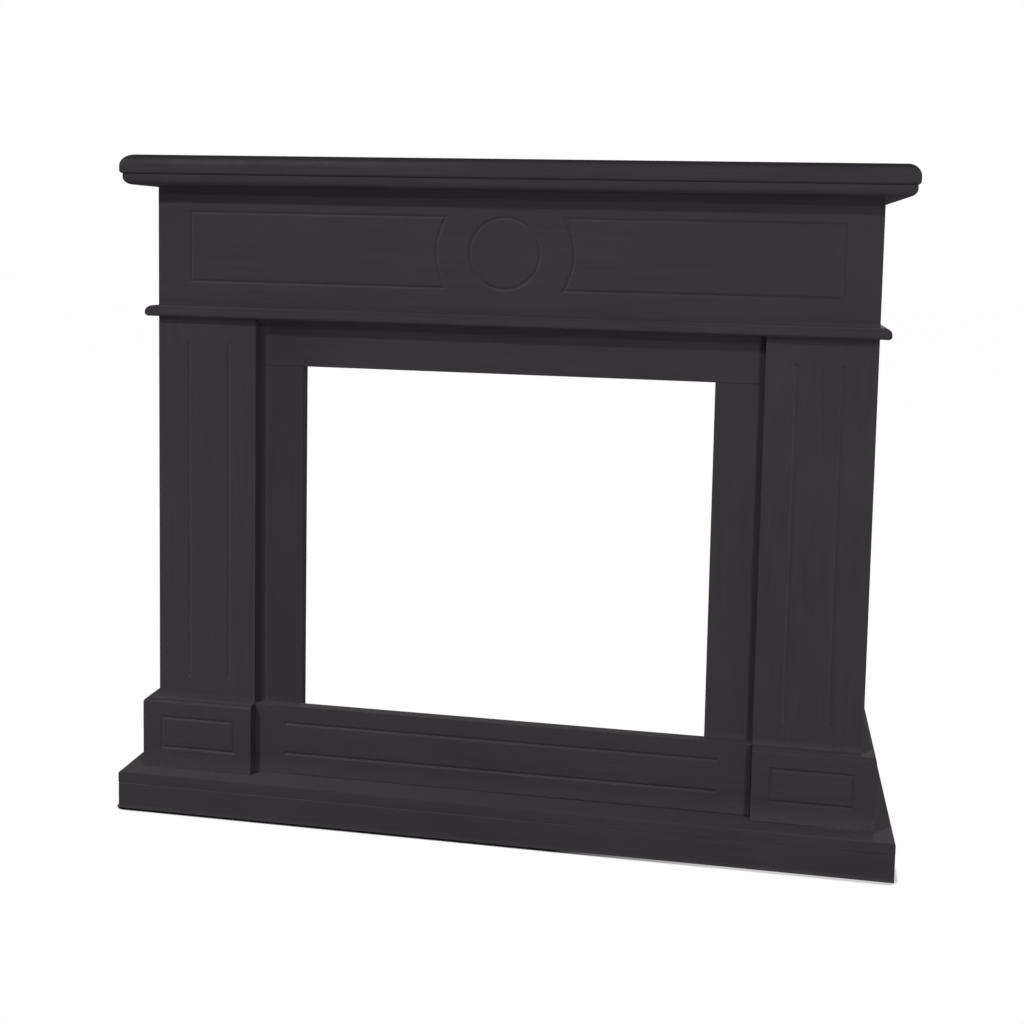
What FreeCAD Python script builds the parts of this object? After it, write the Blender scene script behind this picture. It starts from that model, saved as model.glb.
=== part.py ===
"""Fireplace surround: painted boards on a hearth base, with routed grooves and a clear fire opening.

X runs to the right, Y away from the viewer and Z up.
The origin is on the floor under the middle of the surround.
"""
import FreeCAD, Part
import os
import re
import Sketcher

# Driving sizes in millimetres
SIZES = {
    # boards and their edges
    "board": 16,
    "edge_round": 1,
    "batten": 20,
    # hearth base
    "width": 1162,
    "depth": 400,
    "apron_height": 41,
    "hearth_overhang": 44,
    "hearth_round": 2.5,
    "base_ease": 2.5,
    "notch_margin": 140,
    "notch_depth": 136,
    "glue_leg": 40,
    "glue_height": 30,
    # pilasters, their plinth blocks and the frame of the fire opening
    "body_inset": 46,
    "pilaster_width": 156,
    "block_height": 108,
    "block_round": 6,
    "return_thickness": 19,
    "shaft_height": 593.5,
    "stile_width": 70,
    "stile_lap": 40,
    "header_height": 71,
    # necking, frieze and shelf
    "neck_overhang": 15,
    "neck_round": 9,
    "neck_ease": 5,
    "frieze_height": 180.5,
    "back_rail_height": 80,
    "underboard_setback": 3.5,
    "underboard_round": 11,
    "shelf_overhang": 40,
    "shelf_inset": 4,
    "shelf_thickness": 29,
    "shelf_nose": 18,
    "shelf_ease": 4.5,
    # routed grooves
    "groove_width": 7,
    "groove_depth": 2,
    "groove_lead": 0.5,
    "ring_radius": 52,
    "ring_gap": 50,
    "panel_margin": 53,
    "panel_rise": 38.5,
    "flute_inner_margin": 43.5,
    "flute_outer_margin": 49,
    "flute_foot": 37,
    "flute_head": 42,
    "block_panel_inner": 28,
    "block_panel_outer": 12,
    "line_foot": 33,
    "line_head": 28,
    "rail_line_margin": 51,
    # dowels
    "dowel_diameter": 8,
    "dowel_length": 40,
    "dowel_seat": 10,
    "neck_dowel_length": 60,
    "front_dowel_inset": 32.5,
    "side_dowel_inset": 70,
    "rail_dowel_inset": 180,
    # wall brackets
    "bracket_leg": 40,
    "bracket_width": 20,
    "bracket_thickness": 2,
    "bracket_rise": 40,
    "bracket_hole_near": 15,
    "bracket_hole_far": 30,
    "wall_hole_diameter": 5.5,
}

# Planes and levels worked out from the sizes
PLACES = {
    "front": "-depth / 2",
    "back": "depth / 2",
    "face": "front + hearth_overhang",
    "frame_face": "face + board",
    "body_edge": "width / 2 - body_inset",
    "inner_side": "body_edge - board",
    "pilaster_edge": "body_edge - pilaster_width",
    "pilaster_middle": "body_edge - pilaster_width / 2",
    "opening_edge": "pilaster_edge - stile_width",
    "stile_edge": "pilaster_edge + stile_lap",
    "base_edge": "width / 2",
    "apron_back": "front + board",
    "notch_edge": "opening_edge + notch_margin",
    "notch_front": "back - notch_depth",
    "hearth_top": "apron_height + board",
    "block_top": "hearth_top + block_height",
    "block_middle": "hearth_top + block_height / 2",
    "neck_bottom": "block_top + shaft_height",
    "opening_top": "neck_bottom - header_height",
    "neck_top": "neck_bottom + board",
    "neck_front": "face - neck_overhang",
    "frieze_top": "neck_top + frieze_height",
    "shelf_joint": "frieze_top + board",
    "shelf_front": "face - shelf_overhang",
    "shelf_width": "width - 2 * shelf_inset",
    "batten_edge": "inner_side - batten",
    "batten_back": "frame_face + batten",
    "panel_reach": "body_edge - panel_margin",
    "panel_height": "frieze_height - 2 * panel_rise",
    "panel_end_radius": "ring_radius + ring_gap",
    "bracket_middle": "neck_top + bracket_rise + bracket_width / 2",
    # rounds, limited by the thickness of their boards
    "neck_upper_round": "min(neck_round; 0.6 * board)",
    "neck_lower_round": "min(neck_ease; 0.35 * board)",
    "underboard_lower_round": "min(underboard_round; 0.85 * board - edge_round)",
    "shelf_upper_round": "min(shelf_nose; 0.7 * shelf_thickness)",
    "shelf_lower_round": "min(shelf_ease; 0.25 * shelf_thickness)",
    # the V cutter, which starts a little in front of the face
    "cutter_depth": "groove_depth + groove_lead",
    "cutter_width": "groove_width * cutter_depth / groove_depth",
}

SNAP = 1e-6
SIDES = {"left": -1, "right": 1}
BACKWARD = FreeCAD.Vector(0, 1, 0)
FORWARD = FreeCAD.Vector(0, -1, 0)
UPWARD = FreeCAD.Vector(0, 0, 1)

doc = FreeCAD.newDocument("FireplaceSurround")
sheet = doc.addObject("Spreadsheet::Sheet", "Sizes")
for row, (name, size) in enumerate(SIZES.items(), 1):
    sheet.set(f"A{row}", name)
    sheet.set(f"B{row}", str(size))
    sheet.setAlias(f"B{row}", name)
doc.recompute()

parts = {}


# Formulas

def formula(text):
    """Write a formula out in sheet cells: place names become their own formulas, size names become cells."""
    def cell(match):
        word = match.group()
        if word in PLACES:
            return f"({formula(PLACES[word])})"
        return f"Sizes.{word}" if word in SIZES else word

    return re.sub(r"[a-z_]+", cell, text)


def value(text):
    """Work a formula out with the sizes as they stand."""
    return float(sheet.evalExpression(formula(text)))


def bind(item, formulas):
    """Tie properties of a document object to formulas."""
    for prop, text in formulas.items():
        item.setExpression(prop, formula(text))


def place(item, x, y, z):
    """Tie an object's position to three formulas."""
    bind(item, {"Placement.Base.x": x, "Placement.Base.y": y, "Placement.Base.z": z})


def mirrored(sign, low, high):
    """Give a range of X on the right as it is, or its mirror image on the left."""
    return (low, high) if sign > 0 else (f"-({high})", f"-({low})")


# Making and keeping pieces

def keep(label, item):
    """Name a finished piece and keep it for export."""
    item.Label = label
    parts[label] = item
    return item


def plain_board(label, x, y, z):
    """Make a square-edged board that fills three ranges."""
    box = doc.addObject("Part::Box", f"{label}_blank")
    place(box, x[0], y[0], z[0])
    bind(box, {
        "Length": f"{x[1]} - ({x[0]})",
        "Width": f"{y[1]} - ({y[0]})",
        "Height": f"{z[1]} - ({z[0]})",
    })
    return box


def machined(label, blank, tools):
    """Cut the holes and grooves of one piece out of its blank, and keep it."""
    for tool in tools:
        cut = doc.addObject("Part::Cut", f"{label}_cut")
        cut.Base = blank
        cut.Tool = tool
        blank = cut
    return keep(label, blank)


def grouped(label, items):
    """Keep several like pieces as one group."""
    group = doc.addObject("Part::Compound", label)
    group.Links = items
    return keep(label, group)


# Sketches and features

def sketch_on(body, role):
    """Start a sketch on one of a body's own origin planes."""
    sketch = body.newObject("Sketcher::SketchObject", f"{body.Name}_sketch")
    plane = next(item for item in body.Origin.OriginFeatures if item.Role == role)
    sketch.AttachmentSupport = (plane, [""])
    sketch.MapMode = "FlatFace"
    return sketch


def pin(sketch, kind, axis, geometry, text):
    """Hold the start of a line at a formula's distance from the sketch's origin along one axis."""
    distance = value(text)
    if abs(distance) < SNAP:
        sketch.addConstraint(Sketcher.Constraint("PointOnObject", geometry, 1, axis))
        return
    if distance > 0:
        index = sketch.addConstraint(Sketcher.Constraint(kind, -1, 1, geometry, 1, distance))
    else:
        index = sketch.addConstraint(Sketcher.Constraint(kind, geometry, 1, -1, 1, -distance))
        text = f"-({text})"
    sketch.setExpression(f"Constraints[{index}]", formula(text))


def outline(sketch, points):
    """Draw a closed outline whose corners are pairs of formulas."""
    spots = [FreeCAD.Vector(value(x), value(y), 0) for x, y in points]
    count = len(points)
    for index in range(count):
        sketch.addGeometry(Part.LineSegment(spots[index], spots[(index + 1) % count]))
    for index, (x, y) in enumerate(points):
        sketch.addConstraint(Sketcher.Constraint("Coincident", index, 2, (index + 1) % count, 1))
        pin(sketch, "DistanceX", -2, index, x)
        pin(sketch, "DistanceY", -1, index, y)


def rectangle(x, y):
    """List the corners of a rectangle that fills two ranges."""
    return [(x[0], y[0]), (x[1], y[0]), (x[1], y[1]), (x[0], y[1])]


def centred(size):
    """Give the range of a size about zero."""
    return (f"-({size}) / 2", f"({size}) / 2")


def padded(label, role, points, thickness, backward=False):
    """Pad an outline on one origin plane into a new body."""
    body = doc.addObject("PartDesign::Body", f"{label}_body")
    sketch = sketch_on(body, role)
    outline(sketch, points)
    pad = body.newObject("PartDesign::Pad", f"{label}_pad")
    pad.Profile = sketch
    pad.Reversed = backward
    bind(pad, {"Length": thickness})
    doc.recompute()
    return body


def rounded(body, radius, names):
    """Round named edges of a body's last feature."""
    last = body.Tip
    fillet = body.newObject("PartDesign::Fillet", f"{body.Name}_round")
    fillet.Base = (last, names)
    bind(fillet, {"Radius": radius})
    doc.recompute()


def edges_where(body, test):
    """Name the edges of a body's last feature whose ends all pass a test."""
    edges = enumerate(body.Tip.Shape.Edges, 1)
    return [f"Edge{number}" for number, edge in edges if all(test(vertex.Point) for vertex in edge.Vertexes)]


def edges_between(body, plane, walls):
    """Name the edges where one plane of a body meets any of several walls, each an axis and a place on it."""
    def on(spot, flat):
        axis, level = flat
        return abs(getattr(spot, axis) - level) < SNAP

    names = []
    for wall in walls:
        names += edges_where(body, lambda spot: on(spot, plane) and on(spot, wall))
    return names


def rim(body, level):
    """Name the edges of a flat board at one height, along its front and both ends."""
    box = body.Tip.Shape.BoundBox
    return edges_between(body, ("z", level), [("y", box.YMin), ("x", box.XMin), ("x", box.XMax)])


def front_board(label, wide, high, x, z, y="face", head=None, foot=None, eased=(-1, 1)):
    """Make an upright board, its face at y and its middle at x and z.

    The upright edges of its face are eased on the sides named, and the head and foot where a radius is given.
    """
    body = padded(label, "XZ_Plane", rectangle(centred(wide), centred(high)), "board", backward=True)
    box = body.Tip.Shape.BoundBox
    walls = [("x", box.XMax if side > 0 else box.XMin) for side in eased]
    for radius, wall in ((head, ("z", box.ZMax)), (foot, ("z", box.ZMin))):
        if radius == "edge_round":
            walls.append(wall)
        elif radius:
            rounded(body, radius, edges_between(body, ("y", 0), [wall]))
    rounded(body, "edge_round", edges_between(body, ("y", 0), walls))
    place(body, x, y, z)
    return body


def side_board(label, sign, thickness, high, front, bottom, inner, upper_round, walls):
    """Make an upright board from its front to the wall, its top rounded on the outer side and any walls."""
    corners = rectangle(centred(thickness), ("0", f"back - ({front})"))
    body = padded(label, "XY_Plane", corners, high)
    outer = ("x", sign * value(thickness) / 2)
    rounded(body, upper_round, edges_between(body, ("z", value(high)), [outer] + walls))
    place(body, f"{sign} * ({inner} + ({thickness}) / 2)", front, bottom)
    return body


def flat_board(label, wide, front, bottom, thickness, upper_round, lower_round):
    """Make a level board from its front to the wall, rounded along its front and both ends where asked."""
    corners = rectangle(centred(wide), ("0", f"back - ({front})"))
    body = padded(label, "XY_Plane", corners, thickness)
    rounded(body, upper_round, rim(body, value(thickness)))
    if lower_round:
        rounded(body, lower_round, rim(body, 0))
    place(body, "0", front, bottom)
    return body


# Routed grooves

def groove_section(body, rise, shift):
    """Draw the V of a groove on the plane across a board, at a height and a shift along the board."""
    sketch = sketch_on(body, "YZ_Plane")
    bind(sketch, {"AttachmentOffset.Base.z": shift})
    outline(sketch, [
        ("-groove_lead", f"{rise} - cutter_width / 2"),
        ("groove_depth", rise),
        ("-groove_lead", f"{rise} + cutter_width / 2"),
    ])
    return sketch


def route(body, path, section):
    """Cut a groove along a closed path, mitred at its corners."""
    groove = body.newObject("PartDesign::SubtractivePipe", f"{body.Name}_groove")
    groove.Profile = section
    groove.Spine = (path, [f"Edge{index + 1}" for index in range(path.GeometryCount)])
    groove.Transition = "Right corner"
    doc.recompute()
    return groove


def rectangle_groove(body, x, z):
    """Rout a rectangle that fills two ranges on a board's face, starting half way along its top line."""
    middle = f"({x[0]} + {x[1]}) / 2"
    path = sketch_on(body, "XZ_Plane")
    outline(path, [(middle, z[1]), (x[0], z[1]), (x[0], z[0]), (x[1], z[0]), (x[1], z[1])])
    route(body, path, groove_section(body, z[1], middle))


def ring_groove(body):
    """Rout the ring in the middle of the frieze."""
    section = groove_section(body, "ring_radius", "0")
    ring = body.newObject("PartDesign::Groove", "frieze_ring")
    ring.Profile = section
    ring.ReferenceAxis = (section, ["H_Axis"])
    ring.Angle = 360
    doc.recompute()


def frieze_panel_path(body):
    """Draw the left panel of the frieze: three straight sides, and an end concentric with the ring."""
    start = "-(panel_reach + panel_end_radius) / 2"
    low, high = centred("panel_height")
    end_radius = value("panel_end_radius")
    top = value(high)
    end = -(end_radius ** 2 - top ** 2) ** 0.5
    outer = value("-panel_reach")
    spots = [(value(start), top), (outer, top), (outer, -top), (end, -top)]
    corners = [FreeCAD.Vector(x, y, 0) for x, y in spots]
    path = sketch_on(body, "XZ_Plane")
    for first, second in zip(corners, corners[1:]):
        path.addGeometry(Part.LineSegment(first, second))
    path.addGeometry(Part.LineSegment(FreeCAD.Vector(end, top, 0), corners[0]))
    circle = Part.Circle(FreeCAD.Vector(0, 0, 0), UPWARD, end_radius)
    path.addGeometry(Part.ArcOfCircle(circle, circle.parameter(FreeCAD.Vector(end, top, 0)),
                                      circle.parameter(FreeCAD.Vector(end, -top, 0))))
    joints = [(0, 2, 1, 1), (1, 2, 2, 1), (2, 2, 4, 2), (4, 1, 3, 1), (3, 2, 0, 1), (4, 3, -1, 1)]
    for joint in joints:
        path.addConstraint(Sketcher.Constraint("Coincident", *joint))
    for line, (x, y) in enumerate([(start, high), ("-panel_reach", high), ("-panel_reach", low)]):
        pin(path, "DistanceX", -2, line, x)
        pin(path, "DistanceY", -1, line, y)
    path.addConstraint(Sketcher.Constraint("Horizontal", 2))
    path.addConstraint(Sketcher.Constraint("Horizontal", 3))
    radius = path.addConstraint(Sketcher.Constraint("Radius", 4, end_radius))
    path.setExpression(f"Constraints[{radius}]", formula("panel_end_radius"))
    return path, groove_section(body, high, start)


def frieze_panels(body):
    """Rout the left panel of the frieze and mirror it to the right."""
    path, section = frieze_panel_path(body)
    panel = route(body, path, section)
    middle = next(item for item in body.Origin.OriginFeatures if item.Role == "YZ_Plane")
    mirror = body.newObject("PartDesign::Mirrored", "frieze_panels")
    mirror.Originals = [panel]
    mirror.MirrorPlane = (middle, [""])
    body.Tip = mirror
    doc.recompute()


def routed_line(label, start, end):
    """Make the shape that a V cutter sweeps between two spots on the front plane, pointed at both ends."""
    upright = start[0] == end[0]
    wedge = doc.addObject("Part::Wedge", f"{label}_wedge")
    bind(wedge, {
        "Xmin": "-cutter_width / 2", "Xmax": "cutter_width / 2", "X2min": "0", "X2max": "0",
        "Ymin": "-groove_lead", "Ymax": "groove_depth", "Zmin": "0", "Z2min": "0",
    })
    length = f"{end[1]} - ({start[1]})" if upright else f"{end[0]} - ({start[0]})"
    bind(wedge, {"Zmax": length, "Z2max": length})
    wedge.Placement.Rotation = FreeCAD.Rotation() if upright else FreeCAD.Rotation(BACKWARD, 90)
    place(wedge, start[0], "face", start[1])
    pieces = [wedge]
    for x, z in (start, end):
        cone = doc.addObject("Part::Cone", f"{label}_end")
        bind(cone, {"Radius1": "cutter_width / 2", "Height": "cutter_depth"})
        cone.Radius2 = 0
        cone.Placement.Rotation = FreeCAD.Rotation(UPWARD, BACKWARD)
        place(cone, x, "face - groove_lead", z)
        pieces.append(cone)
    line = doc.addObject("Part::MultiFuse", label)
    line.Shapes = pieces
    return line


# Dowels

def dowel_spots(sign):
    """List X and Y of one pilaster's dowels: two in its front board and one at the rear of its side board."""
    fronts = ("pilaster_edge + front_dowel_inset", "body_edge - front_dowel_inset")
    spots = [(f"{sign} * ({x})", "face + board / 2") for x in fronts]
    spots.append((f"{sign} * (body_edge - board / 2)", "back - side_dowel_inset"))
    return spots


def upright_dowel(x, y, z, length):
    """Make one dowel from its foot upwards."""
    dowel = doc.addObject("Part::Cylinder", "dowel")
    bind(dowel, {"Radius": "dowel_diameter / 2", "Height": length})
    place(dowel, x, y, z)
    return dowel


def make_hearth_dowels():
    """Dowels rise from blind holes in the hearth board into the pilasters and the bottom rail."""
    dowels = []
    for sign in SIDES.values():
        spots = dowel_spots(sign) + [(f"{sign} * (pilaster_edge - rail_dowel_inset)", "face + board / 2")]
        dowels += [upright_dowel(x, y, "hearth_top - dowel_seat", "dowel_length") for x, y in spots]
    return grouped("hearth_dowels", dowels)


def make_necking_dowels():
    """Longer dowels stand in the pilasters, pass through the necking board and end in the frieze."""
    dowels = []
    for sign in SIDES.values():
        foot = "neck_bottom + board / 2 - neck_dowel_length / 2"
        dowels += [upright_dowel(x, y, foot, "neck_dowel_length") for x, y in dowel_spots(sign)]
    return grouped("necking_dowels", dowels)


# Hearth base

def make_hearth_board(dowels):
    """The top of the base, cut away behind the fire opening so that the fire's case stands clear of it."""
    body = flat_board("hearth_board", "width", "front", "apron_height", "board", "hearth_round", None)
    notch = sketch_on(body, "XY_Plane")
    outline(notch, rectangle(centred("2 * (notch_edge)"), ("depth - notch_depth", "depth")))
    pocket = body.newObject("PartDesign::Pocket", "hearth_notch")
    pocket.Profile = notch
    pocket.Type = "ThroughAll"
    pocket.Reversed = True
    machined("hearth_board", body, [dowels])


def make_hearth_frame():
    """Aprons flush with the hearth board's edges, and the bearers and rail that carry its middle."""
    low = ("0", "apron_height")
    long = ("apron_back", "back")
    front = front_board("apron_front", "width", "apron_height", "0", "apron_height / 2", "front",
                        head="base_ease", foot="edge_round")
    keep("apron_front", front)
    for side, sign in SIDES.items():
        label = f"apron_{side}"
        end = side_board(label, sign, "board", "apron_height", "apron_back", "0", "base_edge - board",
                         "base_ease", [])
        keep(label, end)
        bearer = mirrored(sign, "notch_edge", "notch_edge + board")
        keep(f"hearth_bearer_{side}", plain_board(f"hearth_bearer_{side}", bearer, long, low))
    across = ("notch_front - board", "notch_front")
    keep("hearth_cross_rail", plain_board("hearth_cross_rail", centred("2 * (notch_edge)"), across, low))


def make_glue_blocks():
    """Triangular blocks glued behind the front apron, in its corners and beside the bearers."""
    blocks = []
    for sign in SIDES.values():
        for wall, step in (("base_edge - board", -1), ("notch_edge + board", 1)):
            corner = f"{sign} * ({wall})"
            tip = f"{corner} + {sign * step} * glue_leg"
            low, high = (corner, tip) if sign * step > 0 else (tip, corner)
            block = doc.addObject("Part::Wedge", "glue_block")
            bind(block, {
                "Xmin": low, "Xmax": high, "X2min": corner, "X2max": corner,
                "Ymin": "apron_back", "Ymax": "apron_back + glue_leg",
                "Zmin": "apron_height - glue_height", "Zmax": "apron_height",
                "Z2min": "apron_height - glue_height", "Z2max": "apron_height",
            })
            blocks.append(block)
    grouped("hearth_glue_blocks", blocks)


# Pilasters, blocks and the frame of the opening

def make_pilaster(side, sign, dowels):
    """A fluted front board, a side board behind its outer edge, and a batten in their corner."""
    label = f"pilaster_front_{side}"
    height = "block_height + shaft_height"
    middle = f"hearth_top + ({height}) / 2"
    front = front_board(label, "pilaster_width", height, f"{sign} * pilaster_middle", middle)
    flutes = []
    for reach in ("pilaster_edge + flute_inner_margin", "body_edge - flute_outer_margin"):
        x = f"{sign} * ({reach})"
        flutes.append(routed_line("flute", (x, "block_top + flute_foot"), (x, "neck_bottom - flute_head")))
    machined(label, front, flutes + dowels)
    upright = ("hearth_top", "neck_bottom")
    wall = plain_board(f"pilaster_side_{side}", mirrored(sign, "inner_side", "body_edge"),
                       ("frame_face", "back"), upright)
    machined(f"pilaster_side_{side}", wall, dowels)
    corner = plain_board(f"pilaster_batten_{side}", mirrored(sign, "batten_edge", "inner_side"),
                         ("frame_face", "batten_back"), upright)
    keep(f"pilaster_batten_{side}", corner)


def make_block(side, sign):
    """A plinth block's front, routed with a rectangle, and its return along the side of the pilaster."""
    front = front_board(f"block_front_{side}", "pilaster_width", "block_height",
                        f"{sign} * pilaster_middle", "block_middle", "face - board",
                        head="block_round", eased=(-sign,))
    half = "pilaster_width / 2"
    across = mirrored(sign, f"block_panel_inner - {half}", f"{half} - block_panel_outer")
    rectangle_groove(front, across, ("line_foot - block_height / 2", "block_height / 2 - line_head"))
    keep(f"block_front_{side}", front)
    label = f"block_return_{side}"
    wall = side_board(label, sign, "return_thickness", "block_height", "face - board", "hearth_top",
                      "body_edge", "block_round", [("y", 0)])
    keep(label, wall)


def make_opening_frame(dowels):
    """The header, the two stiles and the routed bottom rail."""
    header = front_board("header", "2 * stile_edge", "header_height", "0",
                         "neck_bottom - header_height / 2", "frame_face", foot="edge_round")
    keep("header", header)
    middle = "(hearth_top + opening_top) / 2"
    for side, sign in SIDES.items():
        across = f"{sign} * (opening_edge + stile_edge) / 2"
        stile = front_board(f"stile_{side}", "stile_edge - opening_edge", "opening_top - hearth_top",
                            across, middle, "frame_face", head="edge_round")
        keep(f"stile_{side}", stile)
    rail = front_board("bottom_rail", "2 * pilaster_edge", "block_height", "0", "block_middle",
                       head="edge_round")
    start, end = centred("2 * (pilaster_edge - rail_line_margin)")
    levels = ["hearth_top + line_foot", "block_top - line_head"]
    lines = [routed_line("rail_line", (start, level), (end, level)) for level in levels]
    machined("bottom_rail", rail, lines + [dowels])


# Necking, frieze and shelf

def make_necking(dowels):
    """The ledge that goes right through the surround between the pilasters and the frieze."""
    wide = "2 * (body_edge + neck_overhang)"
    body = flat_board("necking_board", wide, "neck_front", "neck_bottom", "board",
                      "neck_upper_round", "neck_lower_round")
    machined("necking_board", body, [dowels])


def make_frieze(dowels):
    """The routed frieze front, its sides and back rail, and the battens inside it."""
    front = front_board("frieze_front", "2 * body_edge", "frieze_height", "0", "neck_top + frieze_height / 2")
    ring_groove(front)
    frieze_panels(front)
    machined("frieze_front", front, [dowels])
    upright = ("neck_top", "frieze_top")
    for side, sign in SIDES.items():
        wall = plain_board(f"frieze_side_{side}", mirrored(sign, "inner_side", "body_edge"),
                           ("frame_face", "back"), upright)
        machined(f"frieze_side_{side}", wall, [dowels])
        corner = plain_board(f"frieze_batten_{side}", mirrored(sign, "batten_edge", "inner_side"),
                             ("frame_face", "batten_back"), upright)
        keep(f"frieze_batten_{side}", corner)
    rail = plain_board("frieze_back_rail", centred("2 * (inner_side)"), ("back - board", "back"),
                       ("frieze_top - back_rail_height", "frieze_top"))
    keep("frieze_back_rail", rail)
    under = ("frieze_top - batten", "frieze_top")
    batten = plain_board("shelf_batten_front", centred("2 * (batten_edge)"), ("frame_face", "batten_back"),
                         under)
    keep("shelf_batten_front", batten)
    for side, sign in SIDES.items():
        batten = plain_board(f"shelf_batten_{side}", mirrored(sign, "batten_edge", "inner_side"),
                             ("batten_back", "back - board"), under)
        keep(f"shelf_batten_{side}", batten)


def make_shelf():
    """The mantel shelf: a thick board with a round nose on a thinner one that is set back."""
    wide = "shelf_width - 2 * underboard_setback"
    under = flat_board("shelf_underboard", wide, "shelf_front + underboard_setback", "frieze_top", "board",
                       "edge_round", "underboard_lower_round")
    keep("shelf_underboard", under)
    shelf = flat_board("shelf_board", "shelf_width", "shelf_front", "shelf_joint", "shelf_thickness",
                       "shelf_upper_round", "shelf_lower_round")
    keep("shelf_board", shelf)


# Wall brackets

def make_wall_bracket(side, sign):
    """A steel angle inside the frieze, with one leg on the frieze side and one along the wall."""
    label = f"wall_bracket_{side}"
    leg = f"{-sign} * bracket_leg"
    skin = f"{-sign} * bracket_thickness"
    corners = [("0", "0"), ("0", "-bracket_leg"), (skin, "-bracket_leg"), (skin, "-bracket_thickness"),
               (leg, "-bracket_thickness"), (leg, "0")]
    angle = padded(label, "XY_Plane", corners, "bracket_width")
    place(angle, f"{sign} * inner_side", "back", "neck_top + bracket_rise")
    holes = []
    for reach in ("bracket_hole_near", "bracket_hole_far"):
        hole = doc.addObject("Part::Cylinder", "wall_hole")
        bind(hole, {"Radius": "wall_hole_diameter / 2", "Height": "bracket_thickness"})
        hole.Placement.Rotation = FreeCAD.Rotation(UPWARD, FORWARD)
        place(hole, f"{sign} * (inner_side - {reach})", "back", "bracket_middle")
        holes.append(hole)
    machined(label, angle, holes)


def make_surround():
    """Make every piece from the floor up."""
    hearth_dowels = make_hearth_dowels()
    necking_dowels = make_necking_dowels()
    doc.recompute()
    make_hearth_board(hearth_dowels)
    make_hearth_frame()
    make_glue_blocks()
    for side, sign in SIDES.items():
        make_pilaster(side, sign, [hearth_dowels, necking_dowels])
        make_block(side, sign)
    make_opening_frame(hearth_dowels)
    make_necking(necking_dowels)
    make_frieze(necking_dowels)
    make_shelf()
    for side, sign in SIDES.items():
        make_wall_bracket(side, sign)
    doc.recompute()


def check():
    """Stop if a feature failed, or a finished piece is empty or broken."""
    for item in doc.Objects:
        if {"Invalid", "Error"} & set(item.State):
            raise RuntimeError(f"{item.Label} failed: {item.State}")
    for label, item in parts.items():
        if item.Shape.isNull() or not item.Shape.isValid() or not item.Shape.Solids:
            raise RuntimeError(f"{label} has no sound solid")


make_surround()
check()
os.makedirs("parts", exist_ok=True)
for label, item in parts.items():
    item.Shape.exportStep(f"parts/{label}.step")
    print(label, len(item.Shape.Solids), round(item.Shape.Volume / 1000, 2))
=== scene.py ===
"""Fireplace surround in satin charcoal paint, with bare fibreboard, softwood and zinc at the back."""
import math
from collections import namedtuple

import bpy
from mathutils import Matrix, Vector


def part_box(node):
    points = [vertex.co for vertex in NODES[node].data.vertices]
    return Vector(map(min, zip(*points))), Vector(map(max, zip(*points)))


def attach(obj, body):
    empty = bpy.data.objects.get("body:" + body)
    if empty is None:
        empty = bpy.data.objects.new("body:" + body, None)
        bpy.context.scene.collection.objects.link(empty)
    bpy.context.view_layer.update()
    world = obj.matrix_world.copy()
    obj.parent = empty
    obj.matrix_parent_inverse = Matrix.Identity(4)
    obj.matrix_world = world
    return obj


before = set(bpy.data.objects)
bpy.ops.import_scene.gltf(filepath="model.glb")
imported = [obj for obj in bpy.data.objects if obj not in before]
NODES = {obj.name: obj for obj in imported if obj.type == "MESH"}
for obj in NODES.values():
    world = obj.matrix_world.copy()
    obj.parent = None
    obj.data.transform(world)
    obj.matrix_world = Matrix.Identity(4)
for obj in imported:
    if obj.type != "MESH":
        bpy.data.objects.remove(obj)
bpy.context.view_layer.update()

# Places on the surround, in metres, and a margin that keeps a mark on one side of an edge
SKIN = 0.0005
ROUTED_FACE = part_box("frieze_front")[0][1]
BLOCK_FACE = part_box("block_front_left")[0][1]
BLOCK_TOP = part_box("block_front_left")[1][2]
HEARTH_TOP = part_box("hearth_board")[1][2]
NECK_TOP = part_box("necking_board")[1][2]
SHELF_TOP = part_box("shelf_board")[1][2]
APRON_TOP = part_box("apron_front")[1][2]
OPENING_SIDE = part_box("stile_right")[0][0]
OPENING_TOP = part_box("header")[0][2]
HEADER_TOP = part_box("header")[1][2]
FRAME_FACE, FRAME_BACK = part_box("header")[0][1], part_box("header")[1][1]
STILE_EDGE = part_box("stile_right")[1][0]
PILASTER_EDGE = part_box("pilaster_front_right")[0][0]
HOLLOW_FRONT = FRAME_BACK + SKIN
HOLLOW_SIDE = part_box("frieze_side_right")[0][0] + SKIN
HOLLOW_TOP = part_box("shelf_underboard")[1][2] + SKIN

# Painted boards by the way that their length runs, which the paint's strokes follow
STANDING_BOARDS = ["pilaster_front_left", "pilaster_front_right", "pilaster_side_left", "pilaster_side_right",
                   "stile_left", "stile_right"]
LYING_BOARDS = ["apron_front", "block_front_left", "block_front_right", "bottom_rail", "header",
                "necking_board", "frieze_front", "shelf_underboard"]
DEEP_BOARDS = ["apron_left", "apron_right", "block_return_left", "block_return_right", "frieze_side_left",
               "frieze_side_right"]
LYING_TOPS = ["hearth_board", "shelf_board"]

# Painted boards whose square edges are sanded, and the pieces inside
SANDED_BOARDS = ["apron_front", "apron_left", "apron_right", "pilaster_side_left", "pilaster_side_right",
                 "frieze_side_left", "frieze_side_right"]
BARE_BOARDS = ["hearth_cross_rail", "hearth_bearer_left", "hearth_bearer_right", "frieze_back_rail"]
UPRIGHT_BATTENS = ["pilaster_batten_left", "pilaster_batten_right", "frieze_batten_left",
                   "frieze_batten_right", "hearth_glue_blocks"]
ACROSS_BATTENS = ["shelf_batten_front"]
DEEP_BATTENS = ["shelf_batten_left", "shelf_batten_right"]
DOWELS = ["hearth_dowels", "necking_dowels"]
BRACKETS = ["wall_bracket_left", "wall_bracket_right"]

QUARTER_TURN = math.radians(90)


# Node helpers

Axes = namedtuple("Axes", "x y z")

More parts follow.
